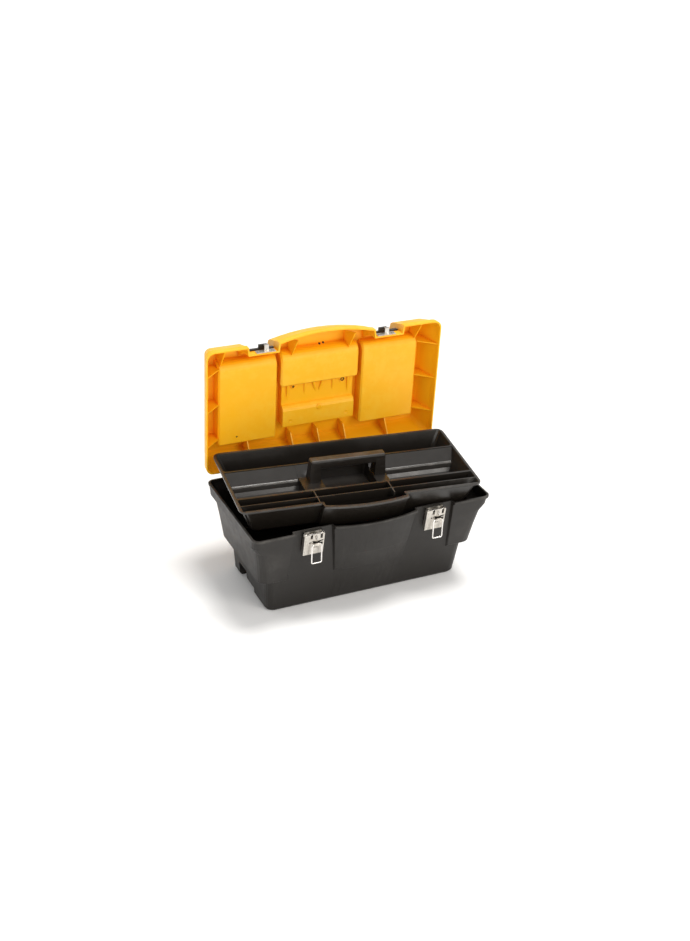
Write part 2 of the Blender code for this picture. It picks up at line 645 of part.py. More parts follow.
def make_latch(tag, x):
    frame = pad_matrix(x)
    pivot = pad_point(x, PIVOT_OUT, PIVOT_UP)
    loop = pad_point(x + BAIL_OFFSET, LOOP_OUT, 0.0)

    plate = box_object("latch_plate_" + tag, (-17, -1.5, -23), (17, -0.3, 21.5), STEEL, PART)
    for side in (-1, 1):
        low, high = sorted((side * 15.6, side * 17.0))
        ear = [(-1.0, 10.0)] + arc_points(-PIVOT_OUT, PIVOT_UP, 2.4, 290, 70, 9) + [(-1.0, 21.3)]
        join(plate, prism("latch_ear_%s_%d" % (tag, side), ear, "X", low, high))
    cut(plate, cylinder("latch_ear_hole_" + tag, 1.6, (-25, -PIVOT_OUT, PIVOT_UP), (25, -PIVOT_OUT, PIVOT_UP)))
    for tool in [m.object for m in plate.modifiers]:
        to_frame(tool, frame)
    to_frame(plate, frame)

    for k, up in enumerate((-14.0, 6.0)):
        rivet = new_object("latch_rivet_%s_%d" % (tag, k + 1),
                           cylinder_bm(2.6, (0, -1.8, up), (0, -3.6, up), 14), STEEL, PART, smooth=40)
        bevel = rivet.modifiers.new("dome", "BEVEL")
        bevel.width = 0.7 * MM
        bevel.segments = 2
        bevel.limit_method = "ANGLE"
        to_frame(rivet, frame)

    node = empty("lever_axis_" + tag, pivot)
    face = [(-20, -24), (20, -24), (20, 20), (18, 22), (16.3, 22), (16.3, 10.6), (11.7, 10.6), (11.7, 21.6),
            (4.2, 22.6), (-3.3, 21.6), (-3.3, 10.6), (-7.9, 10.6), (-7.9, 22), (-18, 22), (-20, 20)]
    lever = prism("latch_lever_" + tag, face, "Y", -11.3, -10.1, STEEL, PART)
    for side in (-1, 1):
        low, high = sorted((side * 18.7, side * 19.9))
        flange = [(-10.7, -23.7), (-4.5, -23.7), (-2.6, -21.0), (-2.6, 12.0)]
        flange += arc_points(-PIVOT_OUT, PIVOT_UP, 4.0, 330, 410, 4)
        flange += [(-10.7, 21.6)]
        join(lever, prism("lever_flange_%s_%d" % (tag, side), flange, "X", low, high))
    mid = BAIL_OFFSET
    web = [(-10.6, -1.6), (-LOOP_OUT, -1.6), (-LOOP_OUT, 1.6), (-10.6, 1.6)]
    join(lever, prism("lever_web_" + tag, web, "X", mid - 5.6, mid + 5.6))
    join(lever, cylinder("lever_loop_" + tag, 2.9, (mid - 6, -LOOP_OUT, 0), (mid + 6, -LOOP_OUT, 0), segments=16))
    cut(lever, box_object("lever_slot_" + tag, (11.0, -13.0, -4.2), (17.6, -9.0, 1.6)),
        box_object("lever_window_" + tag, (0.6, -13.0, -9.6), (7.4, -9.0, -3.6)))
    cut(lever, cylinder("loop_hole_" + tag, 1.8, (mid - 9, -LOOP_OUT, 0), (mid + 9, -LOOP_OUT, 0), segments=16))
    cut(lever, cylinder("lever_hole_" + tag, 1.6, (-25, -PIVOT_OUT, PIVOT_UP), (25, -PIVOT_OUT, PIVOT_UP)))
    for tool in [m.object for m in lever.modifiers]:
        to_frame(tool, frame, pivot)
        attach(tool, node)
    to_frame(lever, frame, pivot)
    attach(lever, node)

    pin = cylinder("latch_pin_" + tag, 1.3, (-20.8, -PIVOT_OUT, PIVOT_UP), (20.8, -PIVOT_OUT, PIVOT_UP),
                   STEEL, PART, 14)
    to_frame(pin, frame)

    eye = []
    for k in range(13):
        a = math.radians(180.0 * k / 12)
        eye.append((3.6, -11.6 - 4.6 * math.sin(a), 14.0 + 3.6 * math.cos(a)))
    staple = wire("latch_staple_" + tag, eye, 1.1, STEEL)
    to_frame(staple, frame, pivot)
    attach(staple, node)

    swing = empty("bail_axis_" + tag, [a - b for a, b in zip(loop, pivot)])
    swing.parent = node
    bend = 2.6
    half = BAIL_HALF
    low = -BAIL_LONG
    path = [(-1.2, 0, 0), (-half + bend, 0, 0)]
    path += [(px, 0, pz) for px, pz in arc_points(-half + bend, -bend, bend, 90, 180, 4)[1:]]
    path += [(px, 0, pz) for px, pz in arc_points(-half + bend, low + bend, bend, 180, 270, 4)]
    path += [(px, 0, pz) for px, pz in arc_points(half - bend, low + bend, bend, 270, 360, 4)]
    path += [(px, 0, pz) for px, pz in arc_points(half - bend, -bend, bend, 0, 90, 4)]
    path += [(1.2, 0, 0)]
    bail = wire("latch_bail_" + tag, path, WIRE, STEEL)
    attach(bail, swing)
    return node


# ---- Lid fittings -------------------------------------------------------------------------------
COVER_V = 34.5           # cover hinge axis, from the lid's back edge
COVER_W = 63.6
HANDLE_V = 129.0         # carry handle pivot
HANDLE_W = 51.6
GRIP_V = 186.0


def in_lid(v, w):
    """World y and z, with the lid closed, of a place in the lid."""
    return LID_BACK - v, RIM_Z + LID_SEAT + w


def lid_child(obj, v=None, w=None):
    """Hang a mesh drawn at the closed lid on the lid's hinge, or on its own axis on the lid."""
    if v is None:
        to_hinge(obj)
        return attach(obj, lid_hinge)
    y, z = in_lid(v, w)
    obj.data.transform(Matrix.Translation(Vector((0.0, -y, -z)) * MM))
    return obj


def axis_on_lid(name, v, w):
    y, z = in_lid(v, w)
    node = empty(name, (0.0, y - HINGE_Y, z - HINGE_Z))
    node.parent = lid_hinge
    return node


def add_lid_fittings(lid):
    joined = []
    for side in (-1, 1):
        tag = "left" if side < 0 else "right"
        for k, (a, b) in enumerate(((91.5, 97.0), (203.0, 208.5))):
            u = sorted((side * a, side * b))
            y, z = in_lid(COVER_V, COVER_W)
            lug = [(y - 4.0, z - 5.4), (y + 4.0, z - 5.4)] + arc_points(y, z, 3.2, -10, 190, 6)
            joined.append(prism("cover_lug_%s_%d" % (tag, k), lug, "X", u[0], u[1]))
        u = sorted((side * 58.4, side * 63.4))
        y, z = in_lid(HANDLE_V, HANDLE_W)
        lug = [(y - 6.0, z - 9.0), (y + 6.0, z - 9.0), (y + 6.0, z + 1.0)] + arc_points(y, z, 5.4, 20, 160, 5)
        lug.append((y - 6.0, z + 1.0))
        joined.append(prism("handle_lug_" + tag, lug, "X", u[0], u[1]))
    y, z = in_lid(COVER_V, COVER_W)
    holes = [cylinder("cover_holes", 1.5, (-215, y, z), (215, y, z), segments=14)]
    y, z = in_lid(HANDLE_V, HANDLE_W)
    holes.append(cylinder("handle_holes", 2.3, (-66, y, z), (66, y, z), segments=16))
    join(lid, *joined)
    cut(lid, *holes)


def make_cover(tag, side):
    """Organiser cover: a plate with a tongue down the latch notch and a thumb tab at its end."""
    node = axis_on_lid("cover_axis_" + tag, COVER_V, COVER_W)
    u = sorted((side * 92.0, side * 208.0))
    y0, z = in_lid(214.2, 60.4)
    y1, _ = in_lid(COVER_V + 4.5, 60.4)
    plate = box_object("organiser_cover_" + tag, (u[0], y0, z), (u[1], y1, z + 2.6), BLACK, PART)
    parts = []
    s = sorted((side * 104.0, side * 157.0))
    depths = (60.0, 57.0, 50.0, 26.0, 18.0)
    inside = [(notch_v(w) + 0.6, w) for w in depths]
    outside = [(v + 2.4, w) for v, w in reversed(inside)]
    tongue = [(212.0, 60.6), (inside[0][0], 60.6)] + inside[1:] + outside[:-1] + [(217.6, 62.8), (212.0, 62.8)]
    parts.append(lid_prism("cover_tongue_" + tag, tongue, s[0], s[1]))
    c = side * LATCH_X
    parts.append(lid_box("cover_tab_" + tag, c - 8.5, c + 8.5, 242.0, 250.5, 19.0, 24.0))
    middle = side * 150.0
    for k, v in enumerate((70.0, 120.0, 170.0)):
        parts.append(lid_box("cover_bead_%s_%d" % (tag, k), middle - 40.0, middle + 40.0, v, v + 14.0, 62.0, 64.2))
    leaf = sorted((side * 99.0, side * 201.0))
    parts.append(lid_box("cover_leaf_" + tag, leaf[0], leaf[1], COVER_V, COVER_V + 6.0, 61.6, 63.0))
    y, z = in_lid(COVER_V, COVER_W)
    ends = sorted((side * 97.6, side * 202.4))
    parts.append(cylinder("cover_barrel_" + tag, 2.9, (ends[0], y, z), (ends[1], y, z), segments=16))
    join(plate, *parts)
    cut(plate, cylinder("cover_bore_" + tag, 1.5, (ends[0] - 3, y, z), (ends[1] + 3, y, z), segments=14))
    for tool in [m.object for m in plate.modifiers]:
        lid_child(tool, COVER_V, COVER_W)
        attach(tool, node)
    lid_child(plate, COVER_V, COVER_W)
    attach(plate, node)
    ends = sorted((side * 92.5, side * 207.5))
    pin = cylinder("cover_pin_" + tag, 1.2, (ends[0], y, z), (ends[1], y, z), STEEL, PART, 12)
    lid_child(pin)
    return plate


def make_carry_handle():
    """Folding carry handle: two arms and a grip, lying in the pocket of the lid."""
    node = axis_on_lid("carry_handle_axis", HANDLE_V, HANDLE_W)
    grip = lid_box("carry_handle_grip", -57.0, 57.0, GRIP_V - 12.0, GRIP_V + 12.0, 42.0, 59.0, 6.0, 3)
    handle = new_object("carry_handle", bmesh.new(), BLACK, PART, smooth=40)
    handle.data = grip.data
    handle.data.materials.clear()
    handle.data.materials.append(BLACK)
    handle.data.shade_smooth()
    handle.data.set_sharp_from_angle(angle=math.radians(40))
    bpy.data.objects.remove(grip, do_unlink=True)
    parts = []
    y, z = in_lid(HANDLE_V, HANDLE_W)
    for side in (-1, 1):
        u = sorted((side * 47.0, side * 57.0))
        arm = [(y - (GRIP_V - HANDLE_V), z - 4.4)]
        arm += arc_points(y, z, 4.4, -90, 90, 6)
        arm += [(y - (GRIP_V - HANDLE_V), z + 4.4)]
        parts.append(prism("carry_arm_%d" % side, arm, "X", u[0], u[1]))
    join(handle, *parts)
    cut(handle, cylinder("carry_bore", 2.3, (-60, y, z), (60, y, z), segments=16))
    for tool in [m.object for m in handle.modifiers]:
        lid_child(tool, HANDLE_V, HANDLE_W)
        attach(tool, node)
    lid_child(handle, HANDLE_V, HANDLE_W)
    attach(handle, node)
    for side in (-1, 1):
        tag = "left" if side < 0 else "right"
        ends = sorted((side * 48.0, side * 62.6))
        pin = cylinder("carry_pin_" + tag, 2.0, (ends[0], y, z), (ends[1], y, z), STEEL, PART, 16)
        lid_child(pin)


def make_keeper(tag, x):
    """Strike on the lid's notch: a plate with an upturned hook for the bail."""
    face = 127.4 - NOTCH_Y
    y, z = in_lid(face + 0.3, 0.0)
    plate = box_object("keeper_" + tag, (x - 19, y - 1.3, z + 1.2), (x + 19, y, z + 12.6), STEEL, PART)
    c = x + HOOK_OFFSET
    shelf = [(y - 0.6, z + 6.0), (y - 0.6, z + 7.4), (y - 11.8, z + 7.4), (y - 11.8, z + 11.0),
             (y - 13.2, z + 11.0), (y - 13.2, z + 6.0)]
    shelf.reverse()
    join(plate, prism("keeper_hook_" + tag, shelf, "X", c - 4.4, c + 4.4))
    for tool in [m.object for m in plate.modifiers]:
        lid_child(tool)
    lid_child(plate)
    for k, side in enumerate((-1, 1)):
        rivet = new_object("keeper_rivet_%s_%d" % (tag, k + 1),
                           cylinder_bm(2.2, (x + side * 14, y - 1.6, z + 7.0), (x + side * 14, y - 3.0, z + 7.0), 12),
                           STEEL, PART, smooth=40)
        lid_child(rivet)


# ---- Assembly -----------------------------------------------------------------------------------
tub = make_tub()
make_ears(tub)
for rest_side in (-1, 1):
    for rest_y in (-55.0, 55.0):
        spans = sorted((rest_side * 236.4, rest_side * 241.0))
        join(tub, box_object("tray_rest_%d_%d" % (rest_side, rest_y), (spans[0], rest_y - 2, 166.0),
                             (spans[1], rest_y + 2, 177.0)))

lid_hinge = empty("lid_hinge", (0.0, HINGE_Y, HINGE_Z), (math.radians(-LID_OPEN), 0.0, 0.0))
lid = make_lid()
add_lid_fittings(lid)
for tool in {m.object for m in lid.modifiers}:
    lid_child(tool)
lid_child(lid)
make_cover("left", -1)
make_cover("right", 1)
make_carry_handle()
make_keeper("left", -LATCH_X)
make_keeper("right", LATCH_X)

rod = cylinder("hinge_rod", 1.7, (-196, HINGE_Y, HINGE_Z), (196, HINGE_Y, HINGE_Z), STEEL, PART, 16)

tray = make_tray()
yaw, roll, pitch = (math.radians(a) for a in TRAY_YPR)
tray_place = Matrix.Translation(Vector(TRAY_POS) * MM) @ Matrix.Rotation(yaw, 4, "Z")
tray_place = tray_place @ Matrix.Rotation(roll, 4, "Y") @ Matrix.Rotation(pitch, 4, "X")
tray.matrix_world = tray_place
for mod in tray.modifiers:
    mod.object.matrix_world = tray_place
    for inner in mod.object.modifiers:
        inner.object.matrix_world = tray_place

make_latch("left", -LATCH_X)
make_latch("right", LATCH_X)
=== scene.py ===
import json
import math

import bmesh
import bpy
from mathutils import Matrix, Vector


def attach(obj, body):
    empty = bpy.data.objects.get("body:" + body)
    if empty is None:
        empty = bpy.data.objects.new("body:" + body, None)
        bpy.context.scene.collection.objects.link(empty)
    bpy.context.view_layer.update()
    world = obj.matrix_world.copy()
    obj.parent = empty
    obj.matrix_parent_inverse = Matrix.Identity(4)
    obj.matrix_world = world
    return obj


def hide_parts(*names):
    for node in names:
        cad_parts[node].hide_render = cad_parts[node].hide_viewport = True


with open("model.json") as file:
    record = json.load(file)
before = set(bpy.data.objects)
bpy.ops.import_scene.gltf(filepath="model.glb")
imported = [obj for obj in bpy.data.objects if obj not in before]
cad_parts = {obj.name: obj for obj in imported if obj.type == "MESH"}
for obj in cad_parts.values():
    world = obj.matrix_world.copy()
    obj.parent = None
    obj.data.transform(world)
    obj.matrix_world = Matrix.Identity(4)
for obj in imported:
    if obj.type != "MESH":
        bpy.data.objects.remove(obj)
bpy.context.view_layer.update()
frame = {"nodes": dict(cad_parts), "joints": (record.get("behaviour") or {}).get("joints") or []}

MM = 0.001


# ---- Node helpers ---------------------------------------------------------------------------
class Nodes:
    """One material's node tree, with short calls for the nodes that every finish uses."""

    def __init__(self, name):
        self.mat = bpy.data.materials.new(name)
        self.mat.use_nodes = True
        self.tree = self.mat.node_tree
        self.tree.nodes.clear()
        self.out = self.add("ShaderNodeOutputMaterial")
        self.bsdf = self.add("ShaderNodeBsdfPrincipled")
        self.link(self.bsdf.outputs[0], self.out.inputs["Surface"])
        self.coord = self.add("ShaderNodeTexCoord").outputs["Object"]

    def add(self, kind):
        return self.tree.nodes.new(kind)

    def link(self, a, b):
        self.tree.links.new(a, b)

    def noise(self, scale, detail=3.0, roughness=0.55, stretch=None, distortion=0.0):
        node = self.add("ShaderNodeTexNoise")
        node.inputs["Scale"].default_value = scale
        node.inputs["Detail"].default_value = detail
        node.inputs["Roughness"].default_value = roughness
        node.inputs["Distortion"].default_value = distortion
        source = self.coord
        if stretch is not None:
            mapping = self.add("ShaderNodeMapping")
            mapping.inputs["Scale"].default_value = stretch
            self.link(self.coord, mapping.inputs["Vector"])
            source = mapping.outputs[0]
        self.link(source, node.inputs["Vector"])
        return node.outputs["Fac"]

    def ramp(self, value, low, high, out_low=0.0, out_high=1.0):
        node = self.add("ShaderNodeMapRange")
        node.inputs["From Min"].default_value = low
        node.inputs["From Max"].default_value = high
        node.inputs["To Min"].default_value = out_low
        node.inputs["To Max"].default_value = out_high
        node.interpolation_type = "SMOOTHSTEP"
        self.link(value, node.inputs["Value"])
        return node.outputs["Result"]

    def math(self, kind, a, b):
        node = self.add("ShaderNodeMath")
        node.operation = kind
        for socket, value in zip(node.inputs, (a, b)):
            if isinstance(value, (int, float)):
                socket.default_value = value
            else:
                self.link(value, socket)
        return node.outputs[0]

    def mix(self, factor, a, b):
        node = self.add("ShaderNodeMix")
        node.data_type = "RGBA"
        for name, value in (("Factor_Float", factor), ("A_Color", a), ("B_Color", b)):
            socket = next(s for s in node.inputs if s.identifier == name)
            if isinstance(value, (int, float)):
                socket.default_value = value
            elif isinstance(value, tuple):
                socket.default_value = (*value, 1.0)
            else:
                self.link(value, socket)
        return next(s for s in node.outputs if s.identifier == "Result_Color")

    def edges(self, low=0.51, high=0.60):
        node = self.add("ShaderNodeNewGeometry")
        return self.ramp(node.outputs["Pointiness"], low, high)

    # Ambient-occlusion mask for painted shade: near 1 in hollows and corners where shade falls, 0 on
    # open faces.
    def shade_mask(self, distance, low=0.35, high=0.9):
        node = self.add("ShaderNodeAmbientOcclusion")
        node.samples = 6
        node.inputs["Distance"].default_value = distance
        return self.ramp(node.outputs["AO"], low, high, 1.0, 0.0)

    def bump(self, height, distance, strength=1.0, normal=None):
        node = self.add("ShaderNodeBump")
        node.inputs["Distance"].default_value = distance
        node.inputs["Strength"].default_value = strength
        self.link(height, node.inputs["Height"])
        if normal is not None:
            self.link(normal, node.inputs["Normal"])
        return node.outputs[0]


def moulded(name, colour, tint, rub_and_highlight_colour, rough, grain, mottle, shade_colour=None, shade_reach_mm=14.0,
            specular=0.5, rub_and_highlight_amount=0.6, relief=0.40):
    """Injection-moulded plastic: faint flow mottling, fine grain, scuffs, edges painted paler as
    partly rubbing and partly painted highlight, and painted shade in hollows when a shade colour is
    given.
    """
    n = Nodes(name)
    cloud = n.ramp(n.noise(9.0, 4.0, 0.6), 0.35, 0.7)
    base = n.mix(n.math("MULTIPLY", cloud, mottle), colour, tint)
    # Painted shade: a darker colour mixed in where the occlusion mask finds hollows, steps and
    # corners.
    if shade_colour is not None:
        base = n.mix(n.math("MULTIPLY", n.shade_mask(shade_reach_mm * MM), 0.75), base, shade_colour)
    # Paler edges: partly real rubbing, partly a painted highlight where rounded edges would catch the
    # light; scuffs are real marks.
    patches = n.ramp(n.noise(34.0, 5.0, 0.7), 0.42, 0.62)
    rub = n.math("MULTIPLY", n.edges(), n.math("ADD", 0.35, n.math("MULTIPLY", patches, 0.65)))
    scuff = n.ramp(n.noise(60.0, 6.0, 0.75, (1.0, 0.12, 1.0), 0.6), 0.66, 0.78)
    rub = n.math("ADD", n.math("MULTIPLY", rub, rub_and_highlight_amount), n.math("MULTIPLY", scuff, 0.07))
    rub = n.math("MINIMUM", 1.0, rub)
    n.link(n.mix(rub, base, rub_and_highlight_colour), n.bsdf.inputs["Base Color"])
    low, high = rough
    n.link(n.ramp(n.noise(46.0, 4.0, 0.6), 0.3, 0.7, low, high), n.bsdf.inputs["Roughness"])
    fine = n.noise(grain, 2.0, 0.6)
    orange_peel = n.noise(90.0, 2.0, 0.5)
    first = n.bump(orange_peel, 0.00025, 0.25)
    n.link(n.bump(fine, 0.00004, relief, first), n.bsdf.inputs["Normal"])
    n.bsdf.inputs["Specular IOR Level"].default_value = specular
    return n.mat


def plated(name, colour, dull, rough, streak):
    """Bright zinc plate over pressed steel: fine drawing lines, a milky bloom and dull edges."""
    n = Nodes(name)
    bloom = n.ramp(n.noise(160.0, 5.0, 0.65), 0.4, 0.68)
    base = n.mix(n.math("MULTIPLY", bloom, 0.55), colour, dull)
    line = n.noise(420.0, 3.0, 0.6, streak)
    base = n.mix(n.ramp(line, 0.35, 0.7, 0.0, 0.18), base, dull)
    rub = n.math("MULTIPLY", n.edges(0.52, 0.62), 0.35)
    n.link(n.mix(rub, base, dull), n.bsdf.inputs["Base Color"])
    low, high = rough
    n.link(n.ramp(bloom, 0.0, 1.0, low, high), n.bsdf.inputs["Roughness"])
    n.link(n.bump(line, 0.00003, 0.20), n.bsdf.inputs["Normal"])
    n.bsdf.inputs["Metallic"].default_value = 1.0
    return n.mat


# The black's shade colour is painted shade, darker at the foot of steps and in hollows.
BLACK = moulded("moulded_black", (0.0105, 0.0085, 0.0066), (0.0165, 0.0137, 0.0108),
                (0.085, 0.078, 0.070), (0.41, 0.48), 1500.0, 0.14,
                shade_colour=(0.0022, 0.0018, 0.0014), shade_reach_mm=9.0, specular=0.36)
# The tray's pale edge colour is partly a painted highlight along rim tops and divider edges, partly
# real rubbing.
TRAY_BLACK = moulded("moulded_black_tray", (0.0110, 0.0088, 0.0068), (0.0170, 0.0140, 0.0110),
                     (0.150, 0.142, 0.130), (0.28, 0.34), 1100.0, 0.25,
                     specular=0.50, rub_and_highlight_amount=0.60, relief=0.12)
# The yellow's shade colour is painted shade, a deeper orange in hollows for light bounced between
# yellow walls.
YELLOW = moulded("moulded_yellow", (0.945, 0.450, 0.0045), (0.955, 0.490, 0.007),
                 (0.97, 0.56, 0.040), (0.36, 0.50), 1400.0, 0.7,
                 shade_colour=(0.90, 0.30, 0.005), shade_reach_mm=16.0, specular=0.32)
STEEL = plated("zinc_plate", (0.64, 0.605, 0.55), (0.46, 0.435, 0.395), (0.30, 0.46),
               (1.0, 1.0, 0.05))
WIRE = plated("zinc_wire", (0.86, 0.83, 0.80), (0.60, 0.58, 0.55), (0.16, 0.30), (0.05, 1.0, 1.0))
# Dark brown for small discs that are painted shade, standing in for the shadowed insides of holes.
HOLE_SHADE = moulded("socket_shadow", (0.030, 0.012, 0.004), (0.045, 0.018, 0.006),
                 (0.06, 0.03, 0.01), (0.55, 0.7), 1500.0, 0.6, specular=0.2)
SHADE = moulded("opening_shade", (0.0050, 0.0040, 0.0030), (0.0075, 0.0060, 0.0045),
                (0.02, 0.018, 0.015), (0.6, 0.75), 1500.0, 0.6, specular=0.15)


def paint(node, material):
    """Give a CAD node one finish all over."""
    obj = frame["nodes"][node]
    obj.data.materials.clear()
    obj.data.materials.append(material)
    for polygon in obj.data.polygons:
        polygon.material_index = 0


for name in frame["nodes"]:
    if name == "lid_shell":
        paint(name, YELLOW)
    elif name == "tray":
        paint(name, TRAY_BLACK)
    elif "bail" in name or "pin" in name or "rod" in name or "staple" in name:
        paint(name, WIRE)
    elif "latch" in name or "keeper" in name:
        paint(name, STEEL)
    else:
        paint(name, BLACK)


# ---- Places on the lid, and new pieces ---------------------------------------------------------
JOINTS = {joint["name"]: joint for joint in frame["joints"]}
LID_BACK = 127.4         # back edge of the shut lid, from the middle of the box
LID_EDGE = 184.8         # height of the shut lid's lower edge


def lid_matrix():
    """From (u along X, v from the lid's back edge, w up from its lower edge) to the open lid."""
    joint = JOINTS["lid_hinge"]
    hinge_y, hinge_z = (value / MM for value in joint["pos_m"][1:])
    turn = math.radians(-joint["range_deg"][0])
    c, s = math.cos(turn), math.sin(turn)
    y, z = LID_BACK - hinge_y, LID_EDGE - hinge_z
    return Matrix(((1, 0, 0, 0),
                   (0, -c, s, hinge_y + y * c + z * s),
                   (0, s, c, hinge_z - y * s + z * c),
                   (0, 0, 0, 1)))


LID = lid_matrix()


def make_piece(name, bm, material, body, matrix, bevel=0.5, segments=3, smooth=True):
    """A detail drawn in millimetres, placed by its matrix, with softened edges, riding on a body."""
    bmesh.ops.transform(bm, matrix=matrix, verts=bm.verts)
    bmesh.ops.transform(bm, matrix=Matrix.Scale(MM, 4), verts=bm.verts)
    bmesh.ops.recalc_face_normals(bm, faces=bm.faces)
    mesh = bpy.data.meshes.new(name)
    bm.to_mesh(mesh)
    bm.free()
    obj = bpy.data.objects.new(name, mesh)
    bpy.context.scene.collection.objects.link(obj)
    mesh.materials.append(material)
    if smooth:
        for polygon in mesh.polygons:
            polygon.use_smooth = True
    if bevel > 0.0:
        soft = obj.modifiers.new("soft_edges", "BEVEL")
        soft.width = bevel * MM
        soft.segments = segments
        soft.limit_method = "ANGLE"
        soft.angle_limit = math.radians(35.0)
        soft.harden_normals = True
    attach(obj, body)
    return obj


def loft(bm, rings):
    """A closed body through rings of points."""
    rows = [[bm.verts.new(point) for point in ring] for ring in rings]
    for low, high in zip(rows, rows[1:]):
        for k in range(len(low)):
            m = (k + 1) % len(low)
            bm.faces.new((low[k], low[m], high[m], high[k]))
    bm.faces.new(list(reversed(rows[0])))
    bm.faces.new(rows[-1])


def circle(x, y, radius, count=28):
    """Points round a circle."""
    angles = [2 * math.pi * k / count for k in range(count)]
    return [(x + radius * math.cos(a), y + radius * math.sin(a)) for a in angles]


def round_boss(bm, u, v, steps):
    """A round moulded boss through (w, radius) steps."""
    loft(bm, [[(x, y, w) for x, y in circle(u, v, radius)] for w, radius in steps])


# ---- Lid details ----------------------------------------------------------------------------
RECESS_W = 41.0          # depth of the recess behind the carry handle's pins
RECESS_TOP = 149.4       # where the recess meets the raised block in front of it
PANEL_W = 30.0           # depth of the raised inner panels


def lid_recess():
    """Pin bosses, stiffening ribs and the centre gate boss in the middle of the lid's underside."""
    for tag, u, v, radius in (("left", -52.0, 141.0, 2.3), ("right", 53.0, 141.5, 4.4)):
        bm = bmesh.new()
        round_boss(bm, u, v, ((RECESS_W + 0.4, radius + 2.6), (RECESS_W - 2.0, radius + 2.2),
                              (RECESS_W - 2.2, radius + 0.9), (RECESS_W - 1.0, radius)))
        make_piece("pin_boss_" + tag, bm, YELLOW, "lid", LID, 0.3, 2)
        # A dark disc in each boss: painted shade for the shadowed pin hole.
        bm = bmesh.new()
        round_boss(bm, u, v, ((RECESS_W - 0.9, radius * 0.98), (RECESS_W - 1.25, radius * 0.96),
                              (RECESS_W - 1.0, radius * 0.5)))
        make_piece("pin_socket_shade_" + tag, bm, HOLE_SHADE, "lid", LID, 0.0)
    # Each rib: place along the lid, sideways slant over its length, length, depth, half width.
    ribs = ((-27.0, 0.0, 30.0, 3.6, 2.2), (-11.0, 8.0, 26.0, 5.0, 2.4), (11.0, -8.0, 26.0, 5.0, 2.4),
            (33.0, 0.0, 30.0, 3.6, 2.2), (-64.0, 0.0, 38.0, 4.2, 2.2), (65.0, 0.0, 38.0, 4.2, 2.2))
    for k, (u, slant, tall, deep, wide) in enumerate(ribs):
        bm = bmesh.new()
        side = []
        for drop, w in ((0.0, RECESS_W + 0.4), (0.0, RECESS_W - deep), (0.6, RECESS_W - deep * 0.7),
                        (1.0, RECESS_W + 0.4)):
            side.append((u + slant * drop, RECESS_TOP - tall * drop, w))
        loft(bm, [[(x - wide, v, w) for x, v, w in side], [(x + wide, v, w) for x, v, w in side]])
        make_piece("recess_rib_%d" % (k + 1), bm, YELLOW, "lid", LID, 1.4, 4)
    bm = bmesh.new()
    round_boss(bm, 1.0, 93.4, ((32.0, 5.8), (30.0, 5.6), (29.2, 5.0), (28.8, 4.0), (28.7, 2.0)))
    make_piece("gate_boss", bm, YELLOW, "lid", LID, 0.4, 3)
    # Two small dark discs: painted shade standing in for two little holes near the front wall.
    for k, (u, v) in enumerate(((-9.5, 236.0), (-1.5, 237.0))):
        bm = bmesh.new()
        round_boss(bm, u, v, ((21.6, 1.9), (19.0, 1.9), (18.6, 1.2)))
        make_piece("front_hole_shade_%d" % (k + 1), bm, HOLE_SHADE, "lid", LID, 0.0)


def lid_marks():
    """Faint round ejector marks on the raised panels, and a dark disc painted as the shade of a vent
    hole.
    """
    marks = ((-190, 70), (-110, 70), (-190, 190), (-110, 190), (110, 70), (190, 70), (110, 190),
             (190, 190), (-60, 72), (60, 72), (-60, 190), (60, 190))
    steps = ((PANEL_W + 0.6, 4.6), (PANEL_W - 0.12, 4.4), (PANEL_W - 0.16, 4.0),
             (PANEL_W + 0.1, 3.8), (PANEL_W + 0.1, 0.4))
    for k, (u, v) in enumerate(marks):
        bm = bmesh.new()
        loft(bm, [[(x, y, w) for x, y in circle(u, v, radius, 24)] for w, radius in steps])
        make_piece("ejector_mark_%02d" % (k + 1), bm, YELLOW, "lid", LID, 0.0)
    # A dark disc on the panel: painted shade in place of a vent opening.
    bm = bmesh.new()
    round_boss(bm, -172.0, 57.0, ((PANEL_W + 0.8, 1.8), (PANEL_W - 0.15, 1.7), (PANEL_W - 0.1, 0.8)))
    make_piece("vent_hole_shade", bm, HOLE_SHADE, "lid", LID, 0.0)


# ---- Tray details ---------------------------------------------------------------------------
TRAY_PLACE = (-8.3, -6.8, 231.7)   # middle of the parked tray's rim
TRAY_YAW = -5.5
TRAY_ROLL = 0.7
TRAY_PITCH = 4.5


def tray_matrix():
    """The tray's own frame at rest, parked askew on the tub: origin at its rim, X along it, Z up."""
    turn = Matrix.Rotation(math.radians(TRAY_YAW), 4, "Z")
    turn = turn @ Matrix.Rotation(math.radians(TRAY_ROLL), 4, "Y")
    return Matrix.Translation(TRAY_PLACE) @ turn @ Matrix.Rotation(math.radians(TRAY_PITCH), 4, "X")


def tray_details():
    """The small moulded lip between each trough and the sloping panel behind it."""
    place = tray_matrix()
    profile = ((8.2, -23.0), (8.6, -21.0), (9.9, -19.6), (11.6, -18.9), (13.4, -18.5), (12.6, -20.5),
               (9.6, -23.4))
    for tag, x0, x1 in (("left", -222.2, -93.0), ("right", 79.0, 222.2)):
        bm = bmesh.new()
        loft(bm, [[(x, y, z) for y, z in profile] for x in (x0, x1)])
        make_piece("trough_lip_" + tag, bm, TRAY_BLACK, "tray", place, 0.3, 2)


# ---- Latch details --------------------------------------------------------------------------
PAD_TILT = 9.2           # lean of the latch pad from upright
LEVER_FACE = -3.8        # the lever's outer face, in the latch's frame
LEVER_MIDDLE = -19.0     # middle height of the pad, in the latch's frame
BAIL_HALF = 9.8          # half the bail's width, to the middle of its wire
BAIL_BEND = 2.8          # bend at its corners
BAIL_LOW = -38.6         # its lower bar, below its pivot
BAIL_WIRE = 1.4          # radius of its wire


